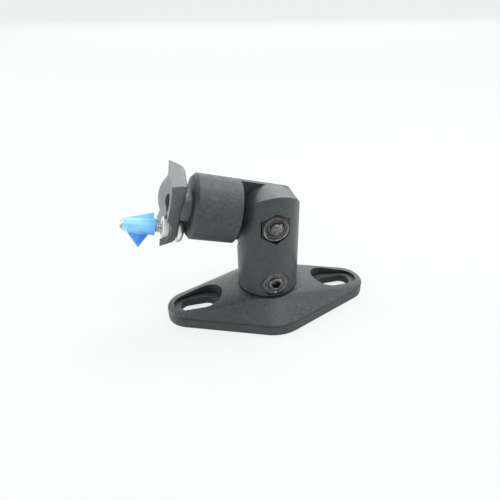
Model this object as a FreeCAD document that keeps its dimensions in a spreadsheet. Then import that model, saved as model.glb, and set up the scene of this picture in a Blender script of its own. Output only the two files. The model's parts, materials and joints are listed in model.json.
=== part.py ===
import FreeCAD, Part
import math
import os
import Sketcher

# Ceiling bracket for a small speaker: a rhombic base plate, a post that swivels on its
# spigot, a half-lap elbow and a saddle plate that rolls on the end of the arm.
# Millimetres. The base rests on z = 0 with the post on the Z axis and the arm towards -X.

DIMENSIONS = {
    # base plate
    "base_half_length": 43.6,
    "base_half_width": 23.5,
    "base_end_radius": 9.65,
    "base_side_radius": 15.7,
    "rim_height": 4.75,
    "rim_ease": 0.55,
    "crown_radius": 13.5,
    "crown_end_radius": 13.4,
    "crown_side_radius": 12.73,
    "crown_height": 10.9,
    # recessed screw seats and slots in the base
    "seat_inner_offset": 27.2,
    "seat_inner_radius": 7.1,
    "seat_outer_offset": 35.7,
    "seat_outer_radius": 5.2,
    "seat_floor": 4.0,
    "slot_offset": 30.7,
    "slot_length": 14.8,
    "slot_width": 7.8,
    # underside of the moulding
    "foot_width": 2.6,
    "foot_depth": 0.6,
    "core_outer_radius": 14.0,
    "core_wall": 2.6,
    "core_roof": 2.8,
    "core_rib": 2.0,
    # swivel spigot and post
    "spigot_radius": 6.0,
    "spigot_height": 13.6,
    "spigot_core_radius": 3.0,
    "spigot_roof": 3.0,
    "groove_depth": 0.8,
    "groove_width": 4.8,
    "swivel_clearance": 0.05,
    "post_gap": 0.45,
    "tube_radius": 12.5,
    "pivot_height": 42.45,
    "knuckle_round": 13.2,
    "shoulder_reach": 14.0,
    "lap_gap": 0.1,
    # pivot bolt and its nut
    "bolt_radius": 3.0,
    "bolt_clearance": 0.08,
    "bolt_head_radius": 5.0,
    "bolt_head_height": 6.0,
    "bolt_grip": 6.5,
    "bolt_length": 20.0,
    "bolt_tip_chamfer": 0.9,
    "bolt_socket_flats": 5.0,
    "bolt_socket_depth": 3.0,
    "head_well_clearance": 0.3,
    "nut_flats": 10.0,
    "nut_thickness": 5.0,
    "nut_face_reach": 12.3,
    "nut_clearance": 0.3,
    "nut_bevel_reach": 0.35,
    # set screw that rides in the spigot groove
    "set_screw_height": 17.3,
    "set_screw_face_reach": 13.1,
    "set_screw_point_radius": 2.0,
    "set_screw_point_length": 1.6,
    "set_screw_point_gap": 0.1,
    "set_screw_chamfer": 0.5,
    "set_screw_socket_flats": 3.2,
    "set_screw_socket_depth": 3.0,
    "thread_fit": 0.02,
    # arm
    "arm_tilt": 15.45,
    "barrel_reach": 30.3,
    "barrel_chamfer": 1.3,
    # saddle screw and washer
    "saddle_screw_radius": 2.0,
    "saddle_screw_grip": 14.0,
    "saddle_screw_head_radius": 3.1,
    "saddle_screw_head_height": 2.4,
    "saddle_screw_slot_flats": 2.5,
    "saddle_screw_slot_depth": 1.4,
    "saddle_washer_radius": 3.3,
    "saddle_washer_thickness": 0.8,
    "well_radius": 3.55,
    # saddle plate; every reach from here on is counted from the end face of the arm
    "saddle_roll": 11.0,
    "saddle_gap": 0.05,
    "neck_radius": 6.1,
    "neck_floor": 3.0,
    "saddle_width": 19.4,
    "saddle_top": 13.05,
    "saddle_bottom": 13.75,
    "saddle_rear_width": 11.8,
    "saddle_rear_top": 12.3,
    "saddle_rear_bottom": 12.9,
    "saddle_rear_reach": 3.0,
    "saddle_front_reach": 10.7,
    "saddle_rear_round": 2.2,
    "dish_reach": 7.85,
    "dish_radius": 90.0,
    "cheek_reach": 10.55,
    "cheek_radius": 24.0,
    "cheek_drop": 2.2,
    "cheek_lean": 18.0,
    "scoop_reach": 7.05,
    "scoop_radius": 8.5,
    "scoop_drop": 7.9,
    # bush, speaker screw and toggle, on one axis in the saddle
    "key_offset_side": 1.0,
    "key_offset_down": 11.2,
    "bush_radius": 4.5,
    "bush_seat_reach": 6.0,
    "bush_face_reach": 8.5,
    "bush_clearance": 0.1,
    "speaker_screw_radius": 2.4,
    "speaker_screw_clearance": 0.08,
    "speaker_screw_head_radius": 4.8,
    "speaker_screw_head_height": 2.7,
    "speaker_screw_head_round": 0.8,
    "speaker_screw_tip_reach": 23.8,
    "speaker_screw_tip_chamfer": 0.6,
    "toggle_start_reach": 11.1,
    "toggle_end_reach": 23.0,
    "toggle_start_radius": 3.8,
    "toggle_end_radius": 2.85,
    "toggle_roll": 58.7,
    "wing_thickness": 1.4,
    "wing_start_reach": 12.5,
    "wing_end_reach": 21.5,
    "wing_apex_reach": 16.8,
    "wing_drop": 8.4,
    "barb_rise": 5.6,
    "barb_tail_reach": 11.6,
    "key_tab_reach": 9.6,
    "key_tab_height": 1.3,
}

doc = FreeCAD.newDocument("speaker_bracket")
sheet = doc.addObject("Spreadsheet::Sheet", "dims")
for row, (alias, size) in enumerate(DIMENSIONS.items(), start=1):
    sheet.set(f"A{row}", alias)
    sheet.set(f"B{row}", str(size))
    sheet.setAlias(f"B{row}", alias)
doc.recompute()

X_AXIS = FreeCAD.Vector(1, 0, 0)
Y_AXIS = FreeCAD.Vector(0, 1, 0)
Z_AXIS = FreeCAD.Vector(0, 0, 1)
ALONG_Y = FreeCAD.Rotation(X_AXIS, -90)
ALONG_X = FreeCAD.Rotation(Y_AXIS, 90)
UPRIGHT = FreeCAD.Rotation()
HEX_CORNER = 30
TOUCH = 1e-6


def size_of(expression):
    """Value of an expression over the sheet, in millimetres or degrees."""
    found = sheet.evalExpression(expression)
    return float(getattr(found, "Value", found))


def bind(item, **expressions):
    for path, expression in expressions.items():
        item.setExpression(path, expression)
    return item


def place(item, at, turn=UPRIGHT):
    item.Placement = FreeCAD.Placement(FreeCAD.Vector(), turn)
    for axis, expression in zip("xyz", at):
        item.setExpression(f"Placement.Base.{axis}", expression)
    return item


def cylinder(name, radius, height, at, turn=UPRIGHT):
    item = doc.addObject("Part::Cylinder", name)
    bind(item, Radius=radius, Height=height)
    return place(item, at, turn)


def box(name, length, width, height, at):
    item = doc.addObject("Part::Box", name)
    bind(item, Length=length, Width=width, Height=height)
    return place(item, at)


def hexagon(name, flats, height, at, turn):
    item = doc.addObject("Part::Prism", name)
    item.Polygon = 6
    bind(item, Circumradius=f"({flats}) / sqrt(3)", Height=height)
    return place(item, at, turn)


def joined(name, *shapes):
    item = doc.addObject("Part::MultiFuse", name)
    item.Shapes = list(shapes)
    return item


def shared(name, base, tool):
    item = doc.addObject("Part::Common", name)
    item.Base = base
    item.Tool = tool
    return item


def cut(name, base, *tools):
    item = doc.addObject("Part::Cut", name)
    item.Base = base
    item.Tool = tools[0] if len(tools) == 1 else joined(name + "_tools", *tools)
    return item


def plane_of(body, role):
    return next(p for p in body.Origin.OriginFeatures if p.Role == role)


def new_body(name):
    body = doc.addObject("PartDesign::Body", name)
    body.Label = name
    return body


def new_sketch(body, name, role="XY_Plane", lift=None):
    sketch = body.newObject("Sketcher::SketchObject", name)
    sketch.AttachmentSupport = [(plane_of(body, role), "")]
    sketch.MapMode = "FlatFace"
    if lift:
        sketch.setExpression("AttachmentOffset.Base.z", lift)
    return sketch


def drive(sketch, kind, *where, size):
    """Add a dimension to a sketch and tie it to the sheet."""
    number = sketch.addConstraint(Sketcher.Constraint(kind, *where, size_of(size)))
    sketch.setExpression(f"Constraints[{number}]", size)


def pin_point(sketch, line, end, across, up):
    for kind, expression, axis in (("DistanceX", across, -2), ("DistanceY", up, -1)):
        if expression == "0":
            sketch.addConstraint(Sketcher.Constraint("PointOnObject", line, end, axis))
        else:
            drive(sketch, kind, -1, 1, line, end, size=expression)


def outline(sketch, corners):
    """Closed polygon whose corners are pairs of sheet expressions."""
    points = [FreeCAD.Vector(size_of(a), size_of(b), 0) for a, b in corners]
    lines = []
    for start, end in zip(points, points[1:] + points[:1]):
        lines.append(sketch.addGeometry(Part.LineSegment(start, end), False))
    for line, following in zip(lines, lines[1:] + lines[:1]):
        sketch.addConstraint(Sketcher.Constraint("Coincident", line, 2, following, 1))
    for line, (across, up) in zip(lines, corners):
        pin_point(sketch, line, 1, across, up)
    return sketch


def tangent_loop(sketch, arcs):
    """Arcs joined by tangent lines, each as (centre across, centre up, radius, start, end)."""
    geometry = []
    for across, up, radius, start, end in arcs:
        middle = FreeCAD.Vector(size_of(across), size_of(up), 0)
        circle = Part.Circle(middle, Z_AXIS, size_of(radius))
        geometry.append(Part.ArcOfCircle(circle, start, end))
    numbers = [sketch.addGeometry(arc, False) for arc in geometry]
    for this, after in zip(range(len(arcs)), [*range(1, len(arcs)), 0]):
        run = Part.LineSegment(geometry[this].EndPoint, geometry[after].StartPoint)
        line = sketch.addGeometry(run, False)
        sketch.addConstraint(Sketcher.Constraint("Tangent", numbers[this], 2, line, 1))
        sketch.addConstraint(Sketcher.Constraint("Tangent", line, 2, numbers[after], 1))
    for number, (across, up, radius, _, _) in zip(numbers, arcs):
        pin_point(sketch, number, 3, across, up)
        drive(sketch, "Radius", number, size=radius)
    return sketch


def rounded_rhombus(sketch, half_length, half_width, end_radius, side_radius):
    end = f"{half_length} - ({end_radius})"
    side = f"{half_width} - ({side_radius})"
    reach = FreeCAD.Vector(size_of(end), size_of(side), 0)
    lean = math.acos((size_of(side_radius) - size_of(end_radius)) / reach.Length)
    turn = lean - math.atan2(reach.y, reach.x)
    half = math.pi
    return tangent_loop(sketch, [
        (end, "0", end_radius, -turn, turn),
        ("0", side, side_radius, turn, half - turn),
        (f"-({end})", "0", end_radius, half - turn, half + turn),
        ("0", f"-({side})", side_radius, half + turn, 2 * half - turn),
    ])


def tapered_slot(sketch, inner, inner_radius, outer, outer_radius):
    run = size_of(f"{outer} - ({inner})")
    turn = math.acos((size_of(inner_radius) - size_of(outer_radius)) / run)
    return tangent_loop(sketch, [
        (outer, "0", outer_radius, -turn, turn),
        (inner, "0", inner_radius, turn, 2 * math.pi - turn),
    ])


def ring(sketch, *radii):
    for radius in radii:
        circle = Part.Circle(FreeCAD.Vector(), Z_AXIS, size_of(radius))
        number = sketch.addGeometry(circle, False)
        sketch.addConstraint(Sketcher.Constraint("Coincident", number, 3, -1, 1))
        drive(sketch, "Radius", number, size=radius)
    return sketch


def pad(body, name, sketch, length, both_ways=False):
    feature = body.newObject("PartDesign::Pad", name)
    feature.Profile = sketch
    feature.setExpression("Length", length)
    if both_ways:
        feature.SideType = "Symmetric"
    return feature


def pocket_up(body, name, sketch, depth=None):
    """Cut upwards from a sketch that looks up, to a depth or right through."""
    feature = body.newObject("PartDesign::Pocket", name)
    feature.Profile = sketch
    feature.Reversed = True
    if depth:
        feature.setExpression("Length", depth)
    else:
        feature.Type = "ThroughAll"
    return feature


def loft(body, name, first, *others):
    feature = body.newObject("PartDesign::AdditiveLoft", name)
    feature.Profile = first
    feature.Sections = list(others)
    feature.Ruled = True
    return feature


def round_edges(body, name, base, radius, wanted):
    doc.recompute()
    feature = body.newObject("PartDesign::Fillet", name)
    edges = [f"Edge{n}" for n, edge in enumerate(base.Shape.Edges, start=1) if wanted(edge)]
    feature.Base = (base, edges)
    feature.setExpression("Radius", radius)
    return feature


def turned(name, corners):
    """Body turned about its X axis, from corners given as (along, radius)."""
    body = new_body(name)
    sketch = outline(new_sketch(body, name + "_profile", "XZ_Plane"), corners)
    feature = body.newObject("PartDesign::Revolution", name + "_turn")
    feature.Profile = sketch
    feature.ReferenceAxis = (sketch, ["H_Axis"])
    return body


def make_base():
    body = new_body("base_plate")
    rim = ("dims.base_half_length", "dims.base_half_width",
           "dims.base_end_radius", "dims.base_side_radius")
    crown = ("dims.crown_radius", "dims.crown_radius",
             "dims.crown_end_radius", "dims.crown_side_radius")
    foot = [f"{size} - dims.foot_width" for size in rim]
    shoulder = [f"{size} - dims.rim_ease" for size in rim]
    wall_top = "dims.rim_height - dims.rim_ease"
    levels = [("wall_edge", rim, wall_top), ("rim_edge", shoulder, "dims.rim_height"),
              ("crown_edge", crown, "dims.crown_height")]
    pad(body, "rim", rounded_rhombus(new_sketch(body, "rim_outline"), *rim), wall_top)
    edges = [rounded_rhombus(new_sketch(body, name, lift=lift), *shape)
             for name, shape, lift in levels]
    loft(body, "slope", *edges)

    groove_low = "dims.set_screw_height - dims.groove_width / 2"
    groove_high = "dims.set_screw_height + dims.groove_width / 2"
    spigot_top = "dims.crown_height + dims.spigot_height"
    root = "dims.crown_height - dims.core_roof / 2"
    spigot = outline(new_sketch(body, "spigot_profile", "XZ_Plane"), [
        ("0", root),
        ("dims.spigot_radius", root),
        ("dims.spigot_radius", groove_low),
        ("dims.spigot_radius - dims.groove_depth", groove_low),
        ("dims.spigot_radius - dims.groove_depth", groove_high),
        ("dims.spigot_radius", groove_high),
        ("dims.spigot_radius", spigot_top),
        ("0", spigot_top),
    ])
    feature = body.newObject("PartDesign::Revolution", "spigot")
    feature.Profile = spigot
    feature.ReferenceAxis = (spigot, ["V_Axis"])

    seat_sketch = tapered_slot(new_sketch(body, "seat_outline", lift="dims.seat_floor"),
                               "dims.seat_inner_offset", "dims.seat_inner_radius",
                               "dims.seat_outer_offset", "dims.seat_outer_radius")
    seat = pocket_up(body, "seat", seat_sketch)
    half_run = "(dims.slot_length - dims.slot_width) / 2"
    slot_sketch = tapered_slot(new_sketch(body, "slot_outline"),
                               f"dims.slot_offset - {half_run}", "dims.slot_width / 2",
                               f"dims.slot_offset + {half_run}", "dims.slot_width / 2")
    slot = pocket_up(body, "slot", slot_sketch)
    mirror = body.newObject("PartDesign::Mirrored", "other_end")
    mirror.Originals = [seat, slot]
    mirror.MirrorPlane = (plane_of(body, "YZ_Plane"), [""])
    body.Tip = mirror

    foot_sketch = rounded_rhombus(new_sketch(body, "foot_outline"), *foot)
    pocket_up(body, "foot_recess", foot_sketch, "dims.foot_depth")
    core_inner = "dims.spigot_core_radius + dims.core_wall"
    core_ring = ring(new_sketch(body, "core_outline"), "dims.core_outer_radius", core_inner)
    pocket_up(body, "core", core_ring, "dims.crown_height - dims.core_roof")
    rib_reach = "dims.core_outer_radius + dims.core_rib"
    for axis in ("x", "y"):
        length, width = (rib_reach, "dims.core_rib / 2")
        if axis == "y":
            length, width = width, length
        cross = outline(new_sketch(body, f"rib_{axis}_outline", lift="dims.foot_depth"), [
            (f"-({length})", f"-({width})"), (length, f"-({width})"),
            (length, width), (f"-({length})", width),
        ])
        pad(body, f"rib_{axis}", cross, "dims.rim_height - dims.foot_depth")
    bore = ring(new_sketch(body, "spigot_core_outline"), "dims.spigot_core_radius")
    pocket_up(body, "spigot_core", bore, f"{spigot_top} - dims.spigot_roof")
    return body


TOWARDS_FRONT = FreeCAD.Rotation(Z_AXIS, -90)
HEX_ALONG_X = ALONG_X
HEX_FLAT_UP = ALONG_X * FreeCAD.Rotation(Z_AXIS, HEX_CORNER)
NUT_FLOOR = "dims.nut_face_reach - dims.nut_thickness"
POST_BOTTOM = "dims.crown_height + dims.post_gap"
BORE_CEILING = "dims.crown_height + dims.spigot_height + dims.swivel_clearance"
BOLT_HOLE = "dims.bolt_radius + dims.bolt_clearance"
NUT_POCKET = "dims.nut_flats + 2 * dims.nut_clearance"


def knuckle_form(name, along, at):
    """Space of a knuckle: a half-round end about the pivot and a straight run from it."""
    end = cylinder(name + "_end", "dims.knuckle_round", "4 * dims.tube_radius",
                   (at[0], "-2 * dims.tube_radius", at[1]), ALONG_Y)
    wide = "2 * dims.knuckle_round"
    deep = "4 * dims.tube_radius"
    if along == "down":
        run = box(name + "_run", wide, deep, at[1],
                  ("-dims.knuckle_round", "-2 * dims.tube_radius", "0"))
    else:
        run = box(name + "_run", "2 * dims.barrel_reach", deep, wide,
                  ("0", "-2 * dims.tube_radius", "-dims.knuckle_round"))
    return joined(name, end, run)


def make_post():
    pivot = "dims.pivot_height"
    tube = cylinder("post_tube", "dims.tube_radius",
                    f"{pivot} + dims.knuckle_round - ({POST_BOTTOM})", ("0", "0", POST_BOTTOM))
    blank = shared("post_blank", tube, knuckle_form("post_form", "down", ("0", pivot)))
    lap = box("post_lap", "4 * dims.tube_radius", "2 * dims.tube_radius", "4 * dims.tube_radius",
              ("-2 * dims.tube_radius", "-dims.lap_gap / 2", f"{pivot} - dims.shoulder_reach"))
    bore = cylinder("post_bore", "dims.spigot_radius + dims.swivel_clearance",
                    f"{BORE_CEILING} - ({POST_BOTTOM})", ("0", "0", POST_BOTTOM))
    holes = []
    for name, height, spin in (("pivot", pivot, HEX_ALONG_X),
                               ("lock", "dims.set_screw_height", HEX_FLAT_UP)):
        holes.append(hexagon(f"{name}_nut_pocket", NUT_POCKET, "dims.tube_radius",
                             ("0", f"-({NUT_FLOOR})", height), TOWARDS_FRONT * spin))
    through = cylinder("post_bolt_hole", BOLT_HOLE, "2 * dims.tube_radius",
                       ("0", "-2 * dims.tube_radius", pivot), ALONG_Y)
    screw_hole = cylinder("post_screw_hole", "dims.bolt_radius + dims.thread_fit",
                          "dims.tube_radius", ("0", "-dims.tube_radius", "dims.set_screw_height"),
                          ALONG_Y)
    return cut("post", blank, lap, bore, through, screw_hole, *holes)


def make_nut(name, spin):
    corner = "dims.nut_flats / sqrt(3)"
    face = "dims.nut_flats / 2"
    start = NUT_FLOOR
    end = "dims.nut_face_reach"
    form = turned(name + "_form", [
        (start, "0"), (start, face), (f"{start} + dims.nut_bevel_reach", corner),
        (f"{end} - dims.nut_bevel_reach", corner), (end, face), (end, "0"),
    ])
    bar = hexagon(name + "_bar", "dims.nut_flats", "dims.nut_thickness", (start, "0", "0"), spin)
    hole = cylinder(name + "_hole", "dims.bolt_radius + dims.thread_fit", "2 * dims.nut_thickness",
                    (f"{start} - dims.nut_thickness / 2", "0", "0"), ALONG_X)
    return cut(name, shared(name + "_blank", bar, form), hole)


def make_pivot_bolt():
    tip = "dims.bolt_length - dims.bolt_grip"
    seat = "-dims.bolt_grip"
    top = "-(dims.bolt_grip + dims.bolt_head_height)"
    form = turned("pivot_bolt_form", [
        (top, "0"), (top, "dims.bolt_head_radius"), (seat, "dims.bolt_head_radius"),
        (seat, "dims.bolt_radius"), (f"{tip} - dims.bolt_tip_chamfer", "dims.bolt_radius"),
        (tip, "dims.bolt_radius - dims.bolt_tip_chamfer"), (tip, "0"),
    ])
    socket = hexagon("pivot_bolt_socket", "dims.bolt_socket_flats", "dims.bolt_socket_depth",
                     (top, "0", "0"), HEX_ALONG_X)
    return cut("pivot_bolt", form, socket)


def make_set_screw():
    tip = "dims.spigot_radius - dims.groove_depth + dims.set_screw_point_gap"
    start = f"{tip} + dims.set_screw_point_length"
    face = "dims.set_screw_face_reach"
    form = turned("set_screw_form", [
        (tip, "0"), (tip, "dims.set_screw_point_radius"), (start, "dims.set_screw_point_radius"),
        (start, "dims.bolt_radius"), (f"{face} - dims.set_screw_chamfer", "dims.bolt_radius"),
        (face, "dims.bolt_radius - dims.set_screw_chamfer"), (face, "0"),
    ])
    socket = hexagon("set_screw_socket", "dims.set_screw_socket_flats",
                     "dims.set_screw_socket_depth",
                     (f"{face} - dims.set_screw_socket_depth", "0", "0"), HEX_FLAT_UP)
    return cut("set_screw", form, socket)


ARM_FACE = "dims.barrel_reach + dims.barrel_chamfer"
WELL_FLOOR = "dims.saddle_gap + dims.neck_floor"
WASHER_SEAT = f"{WELL_FLOOR} + dims.saddle_gap"
SCREW_SEAT = f"{WASHER_SEAT} + dims.saddle_washer_thickness"
SCREW_TIP = f"{SCREW_SEAT} - dims.saddle_screw_grip"


def make_arm():
    start = "-dims.knuckle_round"
    tube = turned("arm_tube", [
        (start, "0"), (start, "dims.tube_radius"), ("dims.barrel_reach", "dims.tube_radius"),
        (ARM_FACE, "dims.tube_radius - dims.barrel_chamfer"), (ARM_FACE, "0"),
    ])
    blank = shared("arm_blank", tube, knuckle_form("arm_form", "outward", ("0", "0")))
    lap = box("arm_lap", "dims.shoulder_reach + 2 * dims.knuckle_round", "2 * dims.tube_radius",
              "4 * dims.tube_radius",
              ("-2 * dims.knuckle_round", "-dims.lap_gap / 2", "-2 * dims.tube_radius"))
    through = cylinder("arm_bolt_hole", BOLT_HOLE, "2 * dims.tube_radius",
                       ("0", "-2 * dims.tube_radius", "0"), ALONG_Y)
    well = cylinder("arm_bolt_well", "dims.bolt_head_radius + dims.head_well_clearance",
                    "dims.tube_radius",
                    ("0", "-(dims.bolt_grip - dims.swivel_clearance) - dims.tube_radius", "0"),
                    ALONG_Y)
    screw_hole = cylinder("arm_screw_hole", "dims.saddle_screw_radius + dims.thread_fit",
                          "dims.saddle_screw_grip + dims.tube_radius",
                          (f"{ARM_FACE} + {SCREW_TIP} - dims.saddle_washer_thickness",
                           "0", "0"), ALONG_X)
    return cut("arm", blank, lap, through, well, screw_hole)


def make_saddle_screw():
    top = f"{SCREW_SEAT} + dims.saddle_screw_head_height"
    form = turned("saddle_screw_form", [
        (SCREW_TIP, "0"), (SCREW_TIP, "dims.saddle_screw_radius"),
        (SCREW_SEAT, "dims.saddle_screw_radius"),
        (SCREW_SEAT, "dims.saddle_screw_head_radius"), (top, "dims.saddle_screw_head_radius"),
        (top, "0"),
    ])
    socket = hexagon("saddle_screw_socket", "dims.saddle_screw_slot_flats",
                     "dims.saddle_screw_slot_depth",
                     (f"{top} - dims.saddle_screw_slot_depth", "0", "0"), HEX_ALONG_X)
    return cut("saddle_screw", form, socket)


def make_saddle_washer():
    hole = "dims.saddle_screw_radius + dims.thread_fit"
    return turned("saddle_washer", [
        (WASHER_SEAT, hole), (WASHER_SEAT, "dims.saddle_washer_radius"),
        (SCREW_SEAT, "dims.saddle_washer_radius"), (SCREW_SEAT, hole),
    ])


KEY_AXIS = ("dims.key_offset_side", "-dims.key_offset_down")
KEY_HOLE = "dims.speaker_screw_radius + dims.speaker_screw_clearance"


def wedge_form(name, role, rear_low, rear_high, front_low, front_high, depth):
    """Block that widens towards the speaker, with its two long rear edges rounded."""
    rear = "dims.saddle_rear_reach"
    front = "dims.saddle_front_reach"
    form = new_body(name)
    wedge = outline(new_sketch(form, name + "_outline", role), [
        (rear, f"-{rear_low}"), (front, f"-{front_low}"), (front, front_high), (rear, rear_high),
    ])
    block = pad(form, name + "_block", wedge, depth, both_ways=True)

    def long_rear_edge(edge):
        at_rear = abs(edge.BoundBox.XMax - size_of(rear)) < TOUCH
        return at_rear and abs(edge.Length - size_of(depth)) < TOUCH

    round_edges(form, name + "_rear", block, "dims.saddle_rear_round", long_rear_edge)
    return form


def make_saddle():
    half_front = "dims.saddle_width / 2"
    half_rear = "dims.saddle_rear_width / 2"
    tall = "(dims.saddle_top + dims.saddle_bottom)"
    side = wedge_form("saddle_side", "XZ_Plane", "dims.saddle_rear_bottom", "dims.saddle_rear_top",
                      "dims.saddle_bottom", "dims.saddle_top", "2 * dims.saddle_width")
    plan = wedge_form("saddle_plan", "XY_Plane", half_rear, half_rear,
                      half_front, half_front, f"2 * {tall}")
    body = shared("saddle_wedge", side, plan)

    start = "dims.saddle_gap"
    through = "2 * dims.tube_radius"
    neck = cylinder("saddle_neck", "dims.neck_radius",
                    f"dims.dish_reach - {start}", (start, "0", "0"), ALONG_X)
    lean = FreeCAD.Rotation(Z_AXIS, size_of("dims.cheek_lean")) * ALONG_Y
    run_out = "dims.saddle_width"
    cheek_root = "dims.cheek_reach - dims.cheek_radius / cos(dims.cheek_lean)"
    cheek = cylinder("saddle_cheek", "dims.cheek_radius", f"3 * {run_out}",
                     (f"{cheek_root} + {run_out} * sin(dims.cheek_lean)",
                      f"-{half_front} - {run_out} * cos(dims.cheek_lean)", "-dims.cheek_drop"), lean)
    dish = doc.addObject("Part::Sphere", "saddle_dish_ball")
    bind(dish, Radius="dims.dish_radius")
    place(dish, ("dims.dish_reach + dims.dish_radius", "0", "0"))
    hollow = cut("saddle_dish", dish, cheek)
    scoop = cylinder("saddle_scoop", "dims.scoop_radius", "dims.saddle_width",
                     ("dims.scoop_reach + dims.scoop_radius", KEY_AXIS[0], "-dims.scoop_drop"),
                     ALONG_Y)
    bore = cylinder("saddle_bore", "dims.saddle_screw_radius + dims.swivel_clearance",
                    "2 * dims.neck_floor", (f"{start} - dims.neck_floor / 2", "0", "0"), ALONG_X)
    well = cylinder("saddle_well", "dims.well_radius", through, (WELL_FLOOR, "0", "0"), ALONG_X)
    bush_seat = cylinder("saddle_bush_seat", "dims.bush_radius + dims.bush_clearance",
                         through, ("dims.bush_seat_reach", *KEY_AXIS), ALONG_X)
    key_hole = cylinder("saddle_key_hole", KEY_HOLE, through, ("0", *KEY_AXIS), ALONG_X)
    key_mouth = box("saddle_key_mouth", through, f"2 * ({KEY_HOLE})", tall,
                    ("0", f"{KEY_AXIS[0]} - ({KEY_HOLE})", f"{KEY_AXIS[1]} - {tall}"))
    blank = joined("saddle_blank", body, neck)
    return cut("saddle_plate", blank, hollow, scoop, bore, well, bush_seat, key_hole, key_mouth)


def make_bush():
    return turned("nylon_bush", [
        ("dims.bush_seat_reach", KEY_HOLE), ("dims.bush_seat_reach", "dims.bush_radius"),
        ("dims.bush_face_reach", "dims.bush_radius"), ("dims.bush_face_reach", KEY_HOLE),
    ])


def make_speaker_screw():
    seat = "(dims.saddle_rear_reach - dims.saddle_gap)"
    tip = "dims.speaker_screw_tip_reach"
    radius = "dims.speaker_screw_radius"
    head = "dims.speaker_screw_head_radius"
    top = f"{seat} - dims.speaker_screw_head_height"
    ease = "dims.speaker_screw_head_round"
    return turned("speaker_screw", [
        (top, "0"), (top, f"{head} - 2 * {ease}"), (f"{top} + {ease} / 2", f"{head} - {ease} / 2"),
        (f"{top} + {ease}", head), (seat, head), (seat, radius),
        (f"{tip} - dims.speaker_screw_tip_chamfer", radius),
        (tip, f"{radius} - dims.speaker_screw_tip_chamfer"), (tip, "0"),
    ])


def make_toggle():
    start = "dims.toggle_start_reach"
    end = "dims.toggle_end_reach"
    body = turned("toggle", [
        (start, KEY_HOLE), (start, "dims.toggle_start_radius"),
        (end, "dims.toggle_end_radius"), (end, KEY_HOLE),
    ])
    root = f"({KEY_HOLE} + dims.toggle_end_radius) / 2"
    fins = {
        "wing": [("dims.wing_start_reach", f"-({root})"), ("dims.wing_apex_reach", "-dims.wing_drop"),
                 ("dims.wing_end_reach", f"-({root})")],
        "barb": [("dims.barb_tail_reach", root), (end, root),
                 ("dims.barb_tail_reach", "dims.barb_rise")],
        "key_tab": [("dims.key_tab_reach", root), ("dims.barb_tail_reach", root),
                    ("dims.barb_tail_reach", f"{root} + dims.key_tab_height"),
                    ("dims.key_tab_reach", f"{root} + dims.key_tab_height")],
    }
    for name, corners in fins.items():
        fin = outline(new_sketch(body, name + "_outline", "XZ_Plane"), corners)
        pad(body, name, fin, "dims.wing_thickness", both_ways=True)
    return body


def moved(at, turn):
    return FreeCAD.Placement(FreeCAD.Vector(*[size_of(a) for a in at]), turn)


FRONT_OF_PIVOT = moved(("0", "0", "dims.pivot_height"), TOWARDS_FRONT)
FRONT_OF_LOCK = moved(("0", "0", "dims.set_screw_height"), TOWARDS_FRONT)
FACING_OUT = FreeCAD.Rotation(Z_AXIS, 180)
ARM_TURN = FreeCAD.Rotation(Y_AXIS, size_of("dims.arm_tilt")) * FACING_OUT
ON_ARM = moved(("0", "0", "dims.pivot_height"), ARM_TURN)
ON_FACE = ON_ARM * moved((ARM_FACE, "0", "0"), UPRIGHT)
ON_SADDLE = ON_FACE * FreeCAD.Placement(FreeCAD.Vector(),
                                        FreeCAD.Rotation(X_AXIS, -size_of("dims.saddle_roll")))
ON_KEY = ON_SADDLE * moved(("0", *KEY_AXIS), UPRIGHT)
ON_TOGGLE = ON_KEY * moved(("0", "0", "0"), FreeCAD.Rotation(X_AXIS, size_of("dims.toggle_roll")))
AT_ORIGIN = FreeCAD.Placement()

pieces = {
    make_base(): AT_ORIGIN,
    make_post(): AT_ORIGIN,
    make_nut("pivot_nut", HEX_ALONG_X): FRONT_OF_PIVOT,
    make_pivot_bolt(): FRONT_OF_PIVOT,
    make_nut("lock_nut", HEX_FLAT_UP): FRONT_OF_LOCK,
    make_set_screw(): FRONT_OF_LOCK,
    make_arm(): ON_ARM,
    make_saddle_screw(): ON_FACE,
    make_saddle_washer(): ON_FACE,
    make_saddle(): ON_SADDLE,
    make_bush(): ON_KEY,
    make_speaker_screw(): ON_KEY,
    make_toggle(): ON_TOGGLE,
}
for piece, placement in pieces.items():
    piece.Placement = placement
doc.recompute()

failed = [o.Name for o in doc.Objects if {"Invalid", "Error"} & set(o.State)]
if failed:
    raise RuntimeError("these did not build: " + ", ".join(failed))
for piece in pieces:
    if piece.Shape.isNull() or not piece.Shape.isValid():
        raise RuntimeError("no sound shape: " + piece.Label)

os.makedirs("parts", exist_ok=True)
for piece in pieces:
    piece.Shape.exportStep(f"parts/{piece.Label}.step")
    print(piece.Label, "solids", len(piece.Shape.Solids), "volume", round(piece.Shape.Volume, 2))
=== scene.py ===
import json
import math

import bmesh
import bpy
from mathutils import Matrix, Vector


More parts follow.
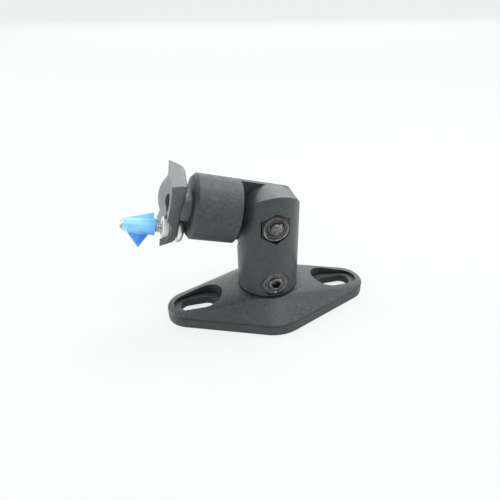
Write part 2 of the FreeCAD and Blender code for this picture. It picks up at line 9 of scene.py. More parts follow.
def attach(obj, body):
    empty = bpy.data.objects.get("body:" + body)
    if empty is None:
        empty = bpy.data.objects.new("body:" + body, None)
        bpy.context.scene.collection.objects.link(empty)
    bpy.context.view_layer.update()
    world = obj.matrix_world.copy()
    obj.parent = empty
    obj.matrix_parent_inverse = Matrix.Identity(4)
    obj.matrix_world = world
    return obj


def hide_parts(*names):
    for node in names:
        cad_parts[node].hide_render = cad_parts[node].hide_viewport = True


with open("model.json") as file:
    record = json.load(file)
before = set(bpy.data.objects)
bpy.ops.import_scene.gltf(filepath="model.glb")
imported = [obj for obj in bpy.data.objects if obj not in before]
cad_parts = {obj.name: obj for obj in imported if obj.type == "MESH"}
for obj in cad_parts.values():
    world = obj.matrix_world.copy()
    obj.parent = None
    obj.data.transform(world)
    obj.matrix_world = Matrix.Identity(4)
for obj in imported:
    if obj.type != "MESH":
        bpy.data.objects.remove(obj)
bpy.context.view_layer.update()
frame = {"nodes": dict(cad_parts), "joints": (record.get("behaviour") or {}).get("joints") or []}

# Speaker ceiling bracket: a moulded base with two slotted screw seats, a post that swivels on it,
# an elbowed arm, and a curved saddle whose screw draws a blue toggle tight inside the speaker.
# Sizes and places below are in millimetres, unless a name says otherwise.

MM = 0.001
WELD = 0.001 * MM
FLAT_PANEL = math.radians(0.6)
CRISP_EDGE = math.radians(28.0)
SIXTH_TURN = math.radians(60.0)
FULL_TURN = math.radians(360.0)
UP = (0.0, 0.0, 1.0)
NEAR = (0.0, -1.0, 0.0)


class Wire:
    """A shader socket that takes part in sums like a number."""

    def __init__(self, finish, socket):
        self.finish = finish
        self.socket = socket

    def maths(self, operation, first, second):
        return self.finish.node("ShaderNodeMath", {"operation": operation}, {0: first, 1: second})

    def __add__(self, other):
        return self.maths("ADD", self, other)

    def __radd__(self, other):
        return self.maths("ADD", other, self)

    def __sub__(self, other):
        return self.maths("SUBTRACT", self, other)

    def __rsub__(self, other):
        return self.maths("SUBTRACT", other, self)

    def __mul__(self, other):
        return self.maths("MULTIPLY", self, other)

    def __rmul__(self, other):
        return self.maths("MULTIPLY", other, self)

    def capped(self):
        return self.maths("MINIMUM", self, 1.0)


class Finish:
    """One material, or the world, and the nodes that dress it."""

    def __init__(self, name, world=None):
        self.material = world or bpy.data.materials.new(name)
        self.material.use_nodes = True
        self.tree = self.material.node_tree
        self.tree.nodes.clear()
        if world is None:
            self.place = self.node("ShaderNodeTexCoord", output="Object")

    def node(self, kind, settings=None, sockets=None, output=0):
        made = self.tree.nodes.new(kind)
        for name, value in (settings or {}).items():
            setattr(made, name, value)
        for name, value in (sockets or {}).items():
            if isinstance(value, Wire):
                self.tree.links.new(value.socket, made.inputs[name])
            else:
                made.inputs[name].default_value = value
        if len(made.outputs) == 0:
            return None
        return Wire(self, made.outputs[output])

    def noise(self, per_mm, detail, roughness, stretch=(1.0, 1.0, 1.0), turn=(0.0, 0.0, 0.0)):
        where = self.node(
            "ShaderNodeMapping",
            {"vector_type": "TEXTURE"},
            {"Vector": self.place, "Rotation": turn, "Scale": stretch},
        )
        return self.node(
            "ShaderNodeTexNoise",
            {"noise_dimensions": "3D"},
            {"Vector": where, "Scale": per_mm / MM, "Detail": detail, "Roughness": roughness},
        )

    def between(self, value, low, high, start=0.0, end=1.0):
        return self.node(
            "ShaderNodeMapRange",
            {"clamp": True},
            {"Value": value, "From Min": low, "From Max": high, "To Min": start, "To Max": end},
        )

    def roughness(self, noise, low, high):
        """Roughness that follows the middle reach of a noise."""
        return self.between(noise, 0.3, 0.7, low, high)

    def blend(self, factor, first, second):
        return self.node(
            "ShaderNodeMix",
            {"data_type": "RGBA", "clamp_factor": True},
            {0: factor, 6: first, 7: second},
            output=2,
        )

    def raised(self, height, reach_mm, strength, below=None):
        sockets = {"Height": height, "Distance": reach_mm * MM, "Strength": strength}
        if below is not None:
            sockets["Normal"] = below
        return self.node("ShaderNodeBump", {}, sockets)

    def away_from(self, centre_mm):
        """Distance from a point, in millimetres."""
        centre = tuple(c * MM for c in centre_mm)
        return self.node(
            "ShaderNodeVectorMath",
            {"operation": "DISTANCE"},
            {0: self.place, 1: centre},
            output="Value",
        ) * (1.0 / MM)

    def along(self, direction, start_mm):
        """Distance along a direction from a starting point, in millimetres."""
        offset = sum(d * s for d, s in zip(direction, start_mm))
        reach = self.node(
            "ShaderNodeVectorMath",
            {"operation": "DOT_PRODUCT"},
            {0: self.place, 1: tuple(direction)},
            output="Value",
        )
        return reach * (1.0 / MM) - offset

    def surface(self, shader):
        self.node("ShaderNodeOutputMaterial", {}, {"Surface": shader})
        return self.material

    def done(self, **sockets):
        named = {
            name.replace("_", " ").title().replace("Ior", "IOR"): value
            for name, value in sockets.items()
        }
        return self.surface(self.node("ShaderNodeBsdfPrincipled", {}, named))


def joint_named(name):
    return next(joint for joint in frame["joints"] if joint["name"] == name)


RUB_TONE = (0.15, 0.156, 0.158, 1)
RIM_SHADE = (0.003, 0.004, 0.0045, 1)
PAINTED_GLINT_TONE = (0.9, 0.9, 0.88, 1)


def moulded_black(name, deep, pale, grain_depth, rough, rubs=(), rim_height=None):
    """Spark-grained black moulding: mottled, with pale rubs and a line of painted shade along a
    rim.
    """
    finish = Finish(name)
    grain = finish.noise(1.25, detail=2.0, roughness=0.6)
    fine = finish.noise(3.4, detail=2.0, roughness=0.6)
    blotch = finish.noise(0.42, detail=3.0, roughness=0.6)
    cloud = finish.noise(0.09, detail=3.0, roughness=0.55)
    scratch = finish.noise(
        0.9, detail=5.0, roughness=0.75, stretch=(0.25, 4.0, 4.0), turn=(0.3, 0.5, 0.9)
    )
    worn = finish.between(scratch, 0.64, 0.72) * finish.between(cloud, 0.5, 0.62)
    for centre, reach in rubs:
        near = finish.between(finish.away_from(centre), 0.2 * reach, reach, 1.0, 0.0)
        worn = worn + near * finish.between(fine, 0.50, 0.62)
    worn = worn.capped()
    speck = finish.between(grain, 0.34, 0.68) * 0.6 + finish.between(blotch, 0.32, 0.70) * 0.4
    tone = finish.blend(speck, deep, pale)
    tone = finish.blend(worn * 0.6, tone, RUB_TONE)
    # The thin dark line at the given height is painted shade: the shadow in the groove along the
    # base's rim and round the post's foot. It also darkens the foot of the seat walls.
    if rim_height is not None:
        off_rim = finish.along(UP, (0.0, 0.0, rim_height))
        painted_light_at_rim = finish.between(off_rim * off_rim, 0.05, 0.3, 0.85, 0.0)
        tone = finish.blend(painted_light_at_rim, tone, RIM_SHADE)
    skin = finish.raised(grain, grain_depth, 1.0)
    skin = finish.raised(fine, 0.4 * grain_depth, 1.0, skin)
    return finish.done(
        base_color=tone, roughness=finish.roughness(blotch, *rough) + worn * 0.12, normal=skin
    )


def steel(name, pale, dark, rough):
    """Brushed metal with darker patches of oil."""
    finish = Finish(name)
    brush = finish.noise(1.1, detail=4.0, roughness=0.6, stretch=(1.0, 4.0, 0.5))
    patch = finish.noise(0.4, detail=4.0, roughness=0.6)
    oil = finish.between(patch, 0.48, 0.66)
    return finish.done(
        base_color=finish.blend(oil, pale, dark),
        metallic=1.0,
        roughness=finish.roughness(brush, *rough) + oil * 0.12,
        normal=finish.raised(brush, 0.03, 0.3),
    )


def nut_steel(name, centre, mid, mouth, rim, corner, painted_glints=()):
    """Pressed nut with oily smears: a painted highlight along the lower part of the face's rim, a
    ring of its own tone round the hole that is bare metal and painted highlight both, and darker
    at the corners.
    """
    finish = Finish(name)
    smear = finish.noise(
        0.55, detail=4.0, roughness=0.65, stretch=(1.0, 1.0, 2.2), turn=(0.0, 0.6, 0.0)
    )
    brush = finish.noise(1.6, detail=3.0, roughness=0.6)
    out = finish.away_from(centre)
    above = finish.along(UP, centre)
    smeared = tuple(0.4 * c for c in mid[:3]) + (1,)
    tone = finish.blend(finish.between(smear, 0.36, 0.64), mid, smeared)
    # Painted highlight along the face's rim, strongest below the centre.
    painted_light_at_rim = finish.between(out, 4.35, 4.6) * finish.between(above, 2.5, -1.0, 0.25, 1.0)
    tone = finish.blend(painted_light_at_rim * finish.between(smear, 0.62, 0.42, 0.3, 1.0), tone, rim)
    # Round the hole: bare metal and painted highlight both.
    tone = finish.blend(finish.between(out, 3.5, 3.4), tone, mouth)
    tone = finish.blend(finish.between(out, 4.85, 5.0), tone, corner)
    # Painted glints: bright highlight specks painted at the given points.
    for place, reach in painted_glints:
        lit = finish.between(finish.away_from(place), reach, 0.5 * reach)
        tone = finish.blend(lit, tone, PAINTED_GLINT_TONE)
    skin = finish.raised(brush, 0.04, 0.5)
    skin = finish.raised(smear, 0.12, 0.6, skin)
    return finish.done(
        base_color=tone, metallic=1.0, roughness=finish.roughness(brush, 0.26, 0.40), normal=skin
    )


def milky_nylon():
    finish = Finish("milky_nylon")
    cloud = finish.noise(0.25, detail=3.0, roughness=0.5)
    grain = finish.noise(1.6, detail=2.0, roughness=0.5)
    return finish.done(
        base_color=finish.blend(cloud, (0.66, 0.69, 0.67, 1), (0.76, 0.79, 0.77, 1)),
        roughness=finish.roughness(grain, 0.32, 0.44),
        normal=finish.raised(grain, 0.03, 0.3),
    )


def sky_blue_nylon(key_joint, wing_way):
    """Clear blue moulding: a pale sleeve that light passes through, paler towards its tip and
    streaked; deeper blue down in the wing, partly a thicker blue and partly painted shade, with
    painted light towards the wing's end.
    """
    finish = Finish("sky_blue_nylon")
    foot = tuple(c / MM for c in key_joint["pos_m"])
    cloud = finish.noise(0.16, detail=3.0, roughness=0.5)
    grain = finish.noise(1.8, detail=2.0, roughness=0.5)
    streak = finish.noise(
        0.45, detail=3.0, roughness=0.6, stretch=(6.0, 1.0, 1.0), turn=(0.0, 0.27, 0.0)
    )
    reach = finish.along(key_joint["axis"], foot)
    sag = finish.along(wing_way, foot)
    at_tip = finish.between(reach, 43.0, 50.0)
    sleeve = finish.blend(at_tip, (0.15, 0.53, 0.91, 1), (0.35, 0.70, 0.95, 1))
    streaked = finish.between(streak, 0.44, 0.62) * 0.45
    sleeve = finish.blend(streaked, sleeve, (0.07, 0.38, 0.82, 1))
    # Paler towards the wing's end: painted light on its lit facet.
    wing_end_painted_light = finish.between(reach, 47.5, 49.0)
    wing = finish.blend(wing_end_painted_light, (0.004, 0.125, 0.58, 1), (0.010, 0.21, 0.72, 1))
    # Deeper blue further down into the wing: a thicker blue and painted shade both.
    return finish.done(
        base_color=finish.blend(finish.between(sag + cloud, 2.9, 4.1), sleeve, wing),
        roughness=finish.roughness(grain, 0.28, 0.40),
        normal=finish.raised(grain, 0.03, 0.2),
        specular_ior_level=0.28,
    )


# Heights of the painted shade lines along the base's rim and round the post's foot.
BASE_RIM_SHADE_HEIGHT = 4.25
POST_FOOT_SHADE_HEIGHT = 11.4
BARREL_RUBS = (
    ((-22.2, -9.4, 57.2), 1.1),
    ((-20.9, -9.5, 56.7), 1.1),
    ((-16.2, -9.3, 55.6), 1.0),
    ((-15.1, -9.5, 55.1), 1.1),
)
WING_WAY = (-0.179, -0.740, -0.649)
ELBOW_NUT_FACE = (0.0, -12.3, 42.45)
SWIVEL_NUT_FACE = (0.0, -12.3, 17.3)
# Places and reaches of painted glints on the swivel nut's lower edge.
PAINTED_GLINTS = (((0.1, -12.3, 13.2), 0.45), ((-0.2, -12.9, 15.0), 0.35))

# Deep tone, pale tone, depth of grain, range of roughness, and what else marks the moulding: wear
# rubs, or the height of a line of painted shade.
BLACKS = {
    "grained_black": (
        (0.013, 0.0165, 0.0190, 1), (0.037, 0.0440, 0.0480, 1), 0.17, (0.34, 0.44),
        {"rim_height": BASE_RIM_SHADE_HEIGHT},
    ),
    "satin_black": (
        (0.022, 0.0270, 0.0310, 1), (0.042, 0.0495, 0.0540, 1), 0.09, (0.30, 0.40),
        {"rim_height": POST_FOOT_SHADE_HEIGHT},
    ),
    "barrel_black": (
        (0.017, 0.0225, 0.0260, 1), (0.048, 0.0555, 0.0595, 1), 0.11, (0.46, 0.60),
        {"rubs": BARREL_RUBS},
    ),
    # Lit and shaded copies of the base's black, for its seat floors and slot walls: painted light
    # and painted shade.
    "seat_floor_lit_black": (
        (0.030, 0.0355, 0.0390, 1), (0.056, 0.0640, 0.0685, 1), 0.12, (0.36, 0.46), {},
    ),
    "slot_wall_shaded_black": (
        (0.007, 0.0085, 0.0095, 1), (0.015, 0.0175, 0.0190, 1), 0.12, (0.55, 0.65), {},
    ),
    # Paler than the other mouldings, for the whole saddle.
    "pale_saddle_black": (
        (0.060, 0.0690, 0.0740, 1), (0.105, 0.1160, 0.1210, 1), 0.08, (0.36, 0.46), {},
    ),
    # A paler copy of the saddle's black for its lit faces: painted light.
    "saddle_lit_black": (
        (0.095, 0.103, 0.107, 1), (0.150, 0.160, 0.164, 1), 0.08, (0.30, 0.40), {},
    ),
}

# Pale tone, oily tone and range of roughness.
STEELS = {
    "worn_steel": ((0.19, 0.19, 0.185, 1), (0.09, 0.09, 0.09, 1), (0.28, 0.42)),
    "grub_steel": ((0.17, 0.17, 0.165, 1), (0.09, 0.09, 0.09, 1), (0.28, 0.42)),
    "blackened_steel": ((0.085, 0.087, 0.086, 1), (0.04, 0.04, 0.04, 1), (0.25, 0.4)),
    "bright_zinc": ((0.84, 0.85, 0.84, 1), (0.70, 0.71, 0.70, 1), (0.34, 0.46)),
    "thread_zinc": ((0.60, 0.61, 0.60, 1), (0.34, 0.345, 0.34, 1), (0.14, 0.24)),
}

key_joint = joint_named("screw_turn")
finishes = {
    "elbow_nut_steel": nut_steel(
        "elbow_nut_steel",
        ELBOW_NUT_FACE,
        mid=(0.10, 0.10, 0.097, 1),
        mouth=(0.36, 0.36, 0.345, 1),
        rim=(0.36, 0.36, 0.345, 1),
        corner=(0.04, 0.04, 0.04, 1),
    ),
    "swivel_nut_steel": nut_steel(
        "swivel_nut_steel",
        SWIVEL_NUT_FACE,
        mid=(0.16, 0.165, 0.165, 1),
        mouth=(0.15, 0.155, 0.155, 1),
        rim=(0.17, 0.175, 0.175, 1),
        corner=(0.09, 0.09, 0.09, 1),
        painted_glints=PAINTED_GLINTS,
    ),
    "milky_nylon": milky_nylon(),
    "sky_blue_nylon": sky_blue_nylon(key_joint, WING_WAY),
}
for name, (deep, pale, grain_depth, rough, marks) in BLACKS.items():
    finishes[name] = moulded_black(name, deep, pale, grain_depth, rough, **marks)
for name, (pale, dark, rough) in STEELS.items():
    finishes[name] = steel(name, pale, dark, rough)

for node_name, finish_name in (
    ("saddle_screw", "blackened_steel"),
    ("saddle_washer", "bright_zinc"),
):
    for material_slot in frame["nodes"][node_name].material_slots:
        material_slot.material = finishes[finish_name]


def facing(direction, origin):
    """Bench frame of a turned piece: its length runs along X, from the origin."""
    ahead = Vector(direction).normalized()
    side = Vector(UP).cross(ahead).normalized()
    axes = Matrix((ahead, side, ahead.cross(side))).transposed().to_4x4()
    return Matrix.Translation(origin) @ axes


def show(shape, name, body, finish_name, stands_for):
    """Makes a piece of a shape, in its finish, on the body that carries it."""
    for face in shape.faces:
        face.smooth = True
    mesh = bpy.data.meshes.new(name)
    shape.to_mesh(mesh)
    shape.free()
    mesh.materials.append(finishes[finish_name])
    piece = bpy.data.objects.new(name, mesh)
    bpy.context.collection.objects.link(piece)
    level = piece.modifiers.new("even_shading", "WEIGHTED_NORMAL")
    level.keep_sharp = True
    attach(piece, body)
    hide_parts(stands_for)
    return piece


def only(kind, items):
    return [item for item in items if isinstance(item, kind)]


def solid_of(node_name):
    shape = bmesh.new()
    shape.from_mesh(frame["nodes"][node_name].data)
    bmesh.ops.remove_doubles(shape, verts=shape.verts, dist=WELD)
    return shape


def carved(shape, cutter, operation="DIFFERENCE"):
    """The shape with the cutter's space taken out of it, or only what they share."""
    pair = []
    for name, part in (("blank", shape), ("cutter", cutter)):
        mesh = bpy.data.meshes.new(name)
        part.to_mesh(mesh)
        part.free()
        pair.append(bpy.data.objects.new(name, mesh))
        bpy.context.collection.objects.link(pair[-1])
    blank, tool = pair
    cut = blank.modifiers.new("cut", "BOOLEAN")
    cut.operation = operation
    cut.solver = "EXACT"
    cut.object = tool
    view = bpy.context.evaluated_depsgraph_get()
    left = bmesh.new()
    left.from_mesh(bpy.data.meshes.new_from_object(blank.evaluated_get(view)))
    for item in pair:
        bpy.data.objects.remove(item)
    bmesh.ops.remove_doubles(left, verts=left.verts, dist=WELD)
    return left


def softened(shape, name, body, finish_name, stands_for, round_mm):
    """A solid with its crisp edges rounded as a mould or a file leaves them."""
    bmesh.ops.dissolve_limit(
        shape,
        angle_limit=FLAT_PANEL,
        verts=shape.verts,
        edges=shape.edges,
        delimit={"NORMAL"},
    )
    bmesh.ops.bevel(
        shape,
        geom=[edge for edge in shape.edges if edge.calc_face_angle(0.0) > CRISP_EDGE],
        offset=round_mm * MM,
        offset_type="OFFSET",
        affect="EDGES",
        segments=2,
        profile=0.5,
        clamp_overlap=True,
        material=-1,
    )
    return show(shape, name, body, finish_name, stands_for)


def turned(profile, steps=48):
    """A shape spun about X from (along, radius) points."""
    shape = bmesh.new()
    corners = [shape.verts.new((along * MM, 0.0, radius * MM)) for along, radius in profile]
    for first, second in zip(corners, corners[1:]):
        shape.edges.new((first, second))
    bmesh.ops.spin(
        shape,
        geom=shape.verts[:] + shape.edges[:],
        cent=(0.0, 0.0, 0.0),
        axis=(1.0, 0.0, 0.0),
        dvec=(0.0, 0.0, 0.0),
        angle=FULL_TURN,
        steps=steps,
        use_merge=True,
    )
    bmesh.ops.remove_doubles(shape, verts=shape.verts, dist=WELD)
    return shape


def hex_socket(shape, flats, depth, inward):
    """Sinks a hexagon key socket into the open round mouth of a turned shape."""
    mouth = [edge for edge in shape.edges if edge.is_boundary]
    half = 0.5 * flats * MM
    floor_reach = 0.3 * half
    for stage in ("rim", "wall", "floor"):
        made = bmesh.ops.extrude_edge_only(shape, edges=mouth)["geom"]
        mouth = only(bmesh.types.BMEdge, made)
        for corner in only(bmesh.types.BMVert, made):
            if stage == "wall":
                corner.co.x += inward * depth * MM
                continue
            bearing = math.atan2(corner.co.z, corner.co.y)
            off_flat = bearing % SIXTH_TURN - 0.5 * SIXTH_TURN
            reach = half / math.cos(off_flat) if stage == "rim" else floor_reach
            corner.co.y = reach * math.cos(bearing)
            corner.co.z = reach * math.sin(bearing)
    bmesh.ops.contextual_create(shape, geom=mouth)


def thread(shape, start, end, root, crest, pitch):
    """Winds one closed ridge round X from start to end."""
    turns = (end - start) / pitch - 1.0
    count = round(turns * 24)
    foot, land = 0.46 * pitch, 0.07 * pitch
    sunk = root - 0.15
    tooth = ((-foot, sunk), (-land, crest), (land, crest), (foot, sunk))
    centre = start + 0.5 * pitch
    corners = [
        shape.verts.new(((centre + along) * MM, 0.0, radius * MM)) for along, radius in tooth
    ]
    sides = [shape.edges.new(pair) for pair in zip(corners, corners[1:] + corners[:1])]
    made = bmesh.ops.spin(
        shape,
        geom=corners + sides,
        cent=(0.0, 0.0, 0.0),
        axis=(1.0, 0.0, 0.0),
        dvec=(turns * pitch * MM / count, 0.0, 0.0),
        angle=FULL_TURN * turns,
        steps=count,
        use_merge=False,
    )
    last = only(bmesh.types.BMEdge, made["geom_last"])
    bmesh.ops.contextual_create(shape, geom=sides)
    bmesh.ops.contextual_create(shape, geom=last)


def placed(shape, bench):
    bmesh.ops.recalc_face_normals(shape, faces=shape.faces)
    bmesh.ops.transform(shape, matrix=bench, verts=shape.verts)
    return shape


def slimmed(shape, joint, within, share):
    """Draws the part of a shape that lies near a joint's axis in towards that axis."""
    foot, way = Vector(joint["pos_m"]), Vector(joint["axis"])
    for corner in shape.verts:
        out = corner.co - foot
        out -= way * out.dot(way)
        if out.length < within * MM:
            corner.co -= out * (1.0 - share)
    return shape


def hex_bar(flats, start, end, corner_up):
    """Six-sided bar along X."""
    corner = flats / math.sqrt(3.0) * MM
    bar = bmesh.new()
    bmesh.ops.create_cone(
        bar,
        cap_ends=True,
        segments=6,
        radius1=corner,
        radius2=corner,
        depth=(end - start) * MM,
        matrix=Matrix.Rotation(math.radians(90.0), 4, "Y"),
    )
    bmesh.ops.translate(bar, verts=bar.verts, vec=(0.5 * (start + end) * MM, 0.0, 0.0))
    if corner_up:
        turn = Matrix.Rotation(0.5 * SIXTH_TURN, 3, "X")
        bmesh.ops.rotate(bar, verts=bar.verts, matrix=turn)
    return bar


NUT_BACK = 7.3
NUT_FACE = 12.3
NUT_BORE = 3.1
POCKET_FLATS = 11.4
POCKET_END = 14.0


def hex_nut(flats, mouth, corner_up, bench):
    """Six-sided nut with a round chamfered face and a countersunk hole."""
    ring = turned((
        (NUT_BACK, NUT_BORE), (NUT_BACK, 4.9), (7.8, 6.5), (11.4, 6.5), (12.1, 5.15),
        (NUT_FACE, 4.75), (NUT_FACE, mouth), (11.8, NUT_BORE), (NUT_BACK, NUT_BORE),
    ), steps=64)
    bmesh.ops.recalc_face_normals(ring, faces=ring.faces)
    blank = hex_bar(flats, NUT_BACK - 1.3, POCKET_END, corner_up)
    return placed(carved(ring, blank, "INTERSECT"), bench)


ARM_FACE = 31.6
SADDLE_ROLL = math.radians(11.0)

elbow_centre = Vector(joint_named("elbow")["pos_m"])
key_way = Vector(key_joint["axis"])
key_bench = facing(key_way, Vector(key_joint["pos_m"]) + key_way * ARM_FACE * MM)
pivot_bench = facing(NEAR, elbow_centre)
lock_bench = facing(NEAR, Vector(joint_named("post_swivel")["pos_m"]))

arm_up = Vector((key_way.z, 0.0, -key_way.x))
saddle_near = Vector(NEAR) * math.cos(SADDLE_ROLL) - arm_up * math.sin(SADDLE_ROLL)
saddle_up = arm_up * math.cos(SADDLE_ROLL) + Vector(NEAR) * math.sin(SADDLE_ROLL)
saddle_axes = Matrix((key_way, saddle_near, saddle_up)).transposed().to_4x4()
saddle_bench = Matrix.Translation(elbow_centre + key_way * ARM_FACE * MM) @ saddle_axes

# Seen from the saddle's near side: reach beyond the arm's face, and height over the arm's axis.
SCOOP_OUTLINE = (
    (8.9, -1.9), (7.1, -3.4), (6.0, -5.6), (6.0, -10.4),
    (7.0, -11.9), (10.0, -13.85), (15.0, -17.1), (15.0, -1.9),
)
SCOOP_START = 1.0
SCOOP_LENGTH = 13.0


def thumb_scoop():
    """Slanted notch that opens the saddle's near side to the nylon collar."""
    scoop = bmesh.new()
    end = scoop.faces.new([
        scoop.verts.new((along * MM, SCOOP_START * MM, up * MM)) for along, up in SCOOP_OUTLINE
    ])
    wall = bmesh.ops.extrude_face_region(scoop, geom=[end])["geom"]
    far = only(bmesh.types.BMVert, wall)
    bmesh.ops.translate(scoop, verts=far, vec=(0.0, SCOOP_LENGTH * MM, 0.0))
    return placed(scoop, saddle_bench)


def dressed(piece, *finish_names):
    """Gives a piece further finishes, for faces numbered from 1 on."""
    for finish_name in finish_names:
        piece.data.materials.append(finishes[finish_name])
    return piece.data.polygons


softened(
    solid_of("arm"),
    "moulded_arm", "arm_body", "barrel_black", "arm", round_mm=0.25,
)
softened(
    solid_of("nylon_bush"),
    "nylon_collar", "saddle_body", "milky_nylon", "nylon_bush", round_mm=0.3,
)

SLOT_CENTRE = 30.7
SLOT_REACH = 7.7
SLOT_HALF_WIDTH = 4.3
SEAT_REACH = 11.0
SEAT_FLOOR = 4.1
base = softened(
    solid_of("base_plate"),
    "moulded_base", "base_body", "grained_black", "base_plate", round_mm=0.5,
)
# Seat floors take the paler copy of the base's black, painted light; slot walls take the darker
# copy, painted shade.
for face in dressed(base, "seat_floor_lit_black", "slot_wall_shaded_black"):
    along, across, height = (c / MM for c in face.center)
    off_slot = abs(abs(along) - SLOT_CENTRE)
    in_slot = off_slot < SLOT_REACH and abs(across) < SLOT_HALF_WIDTH
    if face.normal.z > 0.99 and abs(height - SEAT_FLOOR) < 0.3 and off_slot < SEAT_REACH:
        face.material_index = 1
    elif abs(face.normal.z) < 0.3 and height < SEAT_FLOOR and in_slot:
        face.material_index = 2

nut_pocket = placed(hex_bar(POCKET_FLATS, NUT_BACK, POCKET_END, corner_up=True), pivot_bench)
softened(
    carved(solid_of("post"), nut_pocket),
    "moulded_post", "post_body", "satin_black", "post", round_mm=0.25,
)
softened(
    slimmed(solid_of("toggle"), key_joint, within=4.1, share=0.84),
    "blue_toggle", "toggle_body", "sky_blue_nylon", "toggle", round_mm=0.22,
)
saddle = softened(
    carved(solid_of("saddle_plate"), thumb_scoop()),
    "moulded_saddle", "saddle_body", "pale_saddle_black", "saddle_plate", round_mm=0.25,
)
# Faces that look forward along the arm or upward take the paler copy of the saddle's black:
# painted light.
for face in dressed(saddle, "saddle_lit_black"):
    if face.normal.dot(key_way) > 0.45 or face.normal.dot(saddle_up) > 0.8:
        face.material_index = 1

softened(
    hex_nut(flats=10.9, mouth=3.55, corner_up=True, bench=pivot_bench),
    "elbow_nut", "post_body", "elbow_nut_steel", "pivot_nut", round_mm=0.1,
)
softened(
    hex_nut(flats=10.3, mouth=3.2, corner_up=False, bench=lock_bench),
    "swivel_nut", "post_body", "swivel_nut_steel", "lock_nut", round_mm=0.3,
)

THREAD_STARTS = 3.2
pan_screw = turned((
    (0.25, 2.0), (0.25, 2.9), (0.42, 3.7), (0.8, 4.4), (1.35, 4.8), (1.9, 4.95), (2.7, 4.95),
    (2.95, 4.8), (2.95, 1.75), (23.3, 1.75), (23.8, 1.4), (23.8, 0.0),
))
hex_socket(pan_screw, flats=3.0, depth=1.4, inward=1.0)
thread(pan_screw, start=4.0, end=23.6, root=1.75, crest=2.05, pitch=0.8)
screw = show(
    placed(pan_screw, key_bench),
    "pan_screw", "screw_body", "bright_zinc", "speaker_screw",
)
for face in dressed(screw, "thread_zinc"):
    if (key_bench.inverted() @ face.center).x > THREAD_STARTS * MM:
        face.material_index = 1

elbow_bolt = turned((
    (-12.5, 3.1), (-12.5, 4.5), (-12.35, 4.85), (-12.0, 5.0), (-6.5, 5.0), (-6.5, 3.0),
    (5.6, 3.0), (6.0, 2.6), (12.3, 2.6), (12.7, 2.45), (13.4, 2.1), (13.5, 1.95), (13.5, 0.0),
))
hex_socket(elbow_bolt, flats=5.0, depth=3.0, inward=1.0)
thread(elbow_bolt, start=5.8, end=12.7, root=2.6, crest=2.98, pitch=1.0)
show(
    placed(elbow_bolt, pivot_bench),
    "elbow_bolt", "post_body", "worn_steel", "pivot_bolt",
)

grub_screw = turned((
    (5.3, 0.0), (5.3, 1.8), (5.5, 2.0), (6.9, 2.0), (6.9, 2.6), (12.4, 2.6), (12.4, 2.95),
    (12.8, 2.95), (13.1, 2.7), (13.1, 2.05),
))
hex_socket(grub_screw, flats=3.2, depth=2.6, inward=-1.0)
thread(grub_screw, start=6.8, end=12.4, root=2.6, crest=2.98, pitch=1.0)
show(
    placed(grub_screw, lock_bench),
    "grub_screw", "post_body", "grub_steel", "set_screw",
)


TENT_STRENGTH = 0.82
BACKDROP = 0.92
TENT_TONE = (0.975, 0.99, 0.982, 1.0)
FLOOR_GLOW = (0.885, 0.902, 0.894, 1)
FLOOR_GLOW_SHARE = 0.84
FLOOR_HALF_M = 6.0
FLOOR_DROP = 0.05

# Place, aim, size and watts.
SOFTBOXES = {
    "back_box": ((300, 900, 420), (0, 0, 30), (1500, 600), 5.5),
    "left_box": ((-700, 250, 300), (0, 0, 35), (500, 400), 4.3),
    "right_box": ((650, -120, 200), (0, 0, 30), (400, 400), 1.7),
    "overhead_box": ((185, 110, 430), (0, 0, 20), (150, 150), 0.9),
    "front_box": ((70, -160, 480), (0, 0, 15), (130, 130), 0.55),
}

VIEW_TURN = math.radians(-13.06)
VIEW_LIFT = math.radians(32.31)
VIEW_ROLL = math.radians(1.33)
VIEW_PLACE = (-43.637, -155.991, 128.522)
SENSOR = 36.0
FOCAL_SHARE = 461.52 / 500.0


def seen_directly(finish):
    """One for what the lens sees, straight on, mirrored or through something clear."""
    seen = finish.node("ShaderNodeLightPath", output="Is Camera Ray")
    mirrored = finish.node("ShaderNodeLightPath", output="Is Glossy Ray")
    through = finish.node("ShaderNodeLightPath", output="Is Transmission Ray")
    return (seen + mirrored + through).capped()


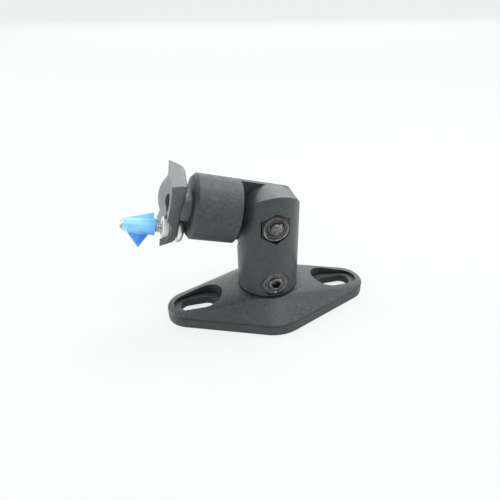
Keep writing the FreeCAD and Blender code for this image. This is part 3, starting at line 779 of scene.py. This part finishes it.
def lay_floor():
    """A pale floor that reads white and still takes the shadow."""
    finish = Finish("pale_floor")
    grain = finish.noise(0.05, detail=2.0, roughness=0.5)
    tone = finish.blend(grain, (0.84, 0.86, 0.85, 1), (0.86, 0.88, 0.87, 1))
    matt = finish.node("ShaderNodeBsdfDiffuse", {}, {"Color": tone})
    glow = finish.node("ShaderNodeEmission", {}, {"Color": FLOOR_GLOW, "Strength": 1.0})
    shown = seen_directly(finish) * FLOOR_GLOW_SHARE
    finish.surface(finish.node("ShaderNodeMixShader", {}, {0: shown, 1: matt, 2: glow}))

    shape = bmesh.new()
    bmesh.ops.create_grid(shape, x_segments=1, y_segments=1, size=FLOOR_HALF_M)
    bmesh.ops.translate(shape, verts=shape.verts, vec=(0.0, 0.0, -FLOOR_DROP * MM))
    mesh = bpy.data.meshes.new("pale_floor")
    shape.to_mesh(mesh)
    shape.free()
    floor = bpy.data.objects.new("pale_floor", mesh)
    mesh.materials.append(finish.material)
    bpy.context.collection.objects.link(floor)


def light_tent():
    """Even light from all round; the lens, metal and clear parts see it as a white backdrop."""
    world = bpy.data.worlds.new("light_tent")
    finish = Finish("light_tent", world)
    level = seen_directly(finish) * (BACKDROP - TENT_STRENGTH) + TENT_STRENGTH
    sky = finish.node("ShaderNodeBackground", {}, {"Color": TENT_TONE, "Strength": level})
    finish.node("ShaderNodeOutputWorld", {}, {"Surface": sky})
    bpy.context.scene.world = world


def softbox(name, place, aim, size, watts):
    lamp = bpy.data.lights.new(name, "AREA")
    lamp.shape = "RECTANGLE"
    lamp.size = size[0] * MM
    lamp.size_y = size[1] * MM
    lamp.energy = watts
    box = bpy.data.objects.new(name, lamp)
    box.location = Vector(place) * MM
    towards = Vector(aim) * MM - box.location
    box.rotation_euler = towards.to_track_quat("-Z", "Y").to_euler()
    bpy.context.collection.objects.link(box)


def set_camera():
    """The photograph's view: where the lens stood, which way it looked, and its roll."""
    ahead = Vector((
        -math.sin(VIEW_TURN) * math.cos(VIEW_LIFT),
        math.cos(VIEW_TURN) * math.cos(VIEW_LIFT),
        -math.sin(VIEW_LIFT),
    ))
    level = Vector((math.cos(VIEW_TURN), math.sin(VIEW_TURN), 0.0))
    down = ahead.cross(level)
    right = level * math.cos(VIEW_ROLL) + down * math.sin(VIEW_ROLL)
    up = level * math.sin(VIEW_ROLL) - down * math.cos(VIEW_ROLL)
    lens = bpy.data.cameras.new("photo_camera")
    lens.sensor_width = SENSOR
    lens.lens = SENSOR * FOCAL_SHARE
    lens.clip_start = 10.0 * MM
    camera = bpy.data.objects.new("photo_camera", lens)
    axes = Matrix((right, up, -ahead)).transposed().to_4x4()
    camera.matrix_world = Matrix.Translation(Vector(VIEW_PLACE) * MM) @ axes
    bpy.context.collection.objects.link(camera)
    bpy.context.scene.camera = camera


lay_floor()
light_tent()
for name, (place, aim, size, watts) in SOFTBOXES.items():
    softbox(name, place, aim, size, watts)
set_camera()
bpy.context.scene.view_settings.view_transform = "Standard"
